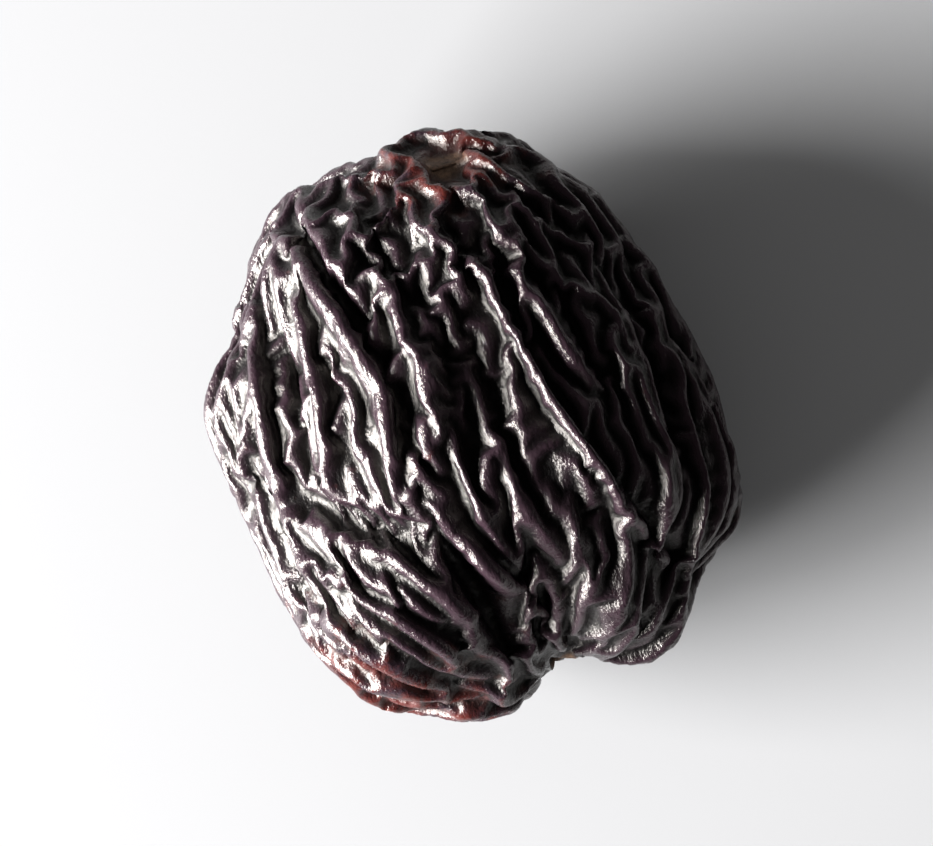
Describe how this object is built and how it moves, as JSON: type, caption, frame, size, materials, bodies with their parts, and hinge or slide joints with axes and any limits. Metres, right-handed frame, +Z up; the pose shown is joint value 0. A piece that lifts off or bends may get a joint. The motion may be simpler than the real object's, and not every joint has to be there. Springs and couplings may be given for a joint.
{
  "type": "black raisin",
  "caption": "Whole dried dark grape with a deeply folded, wrinkled skin, a stem scar at one end and a small flat spot to lie on.",
  "frame": {"origin": "middle of the outline seen from above, on the surface that the raisin lies on", "axes": "+Z up, +Y along the raisin's length towards its stem end, +X to the right seen from above"},
  "size_m": [0.0142, 0.0168, 0.0105],
  "materials": {
    "raisin_skin": "satin, with bright glints on the crests of the folds"
  },
  "bodies": {
    "root": {"raisin": "raisin_skin"}
  },
  "joints": []
}
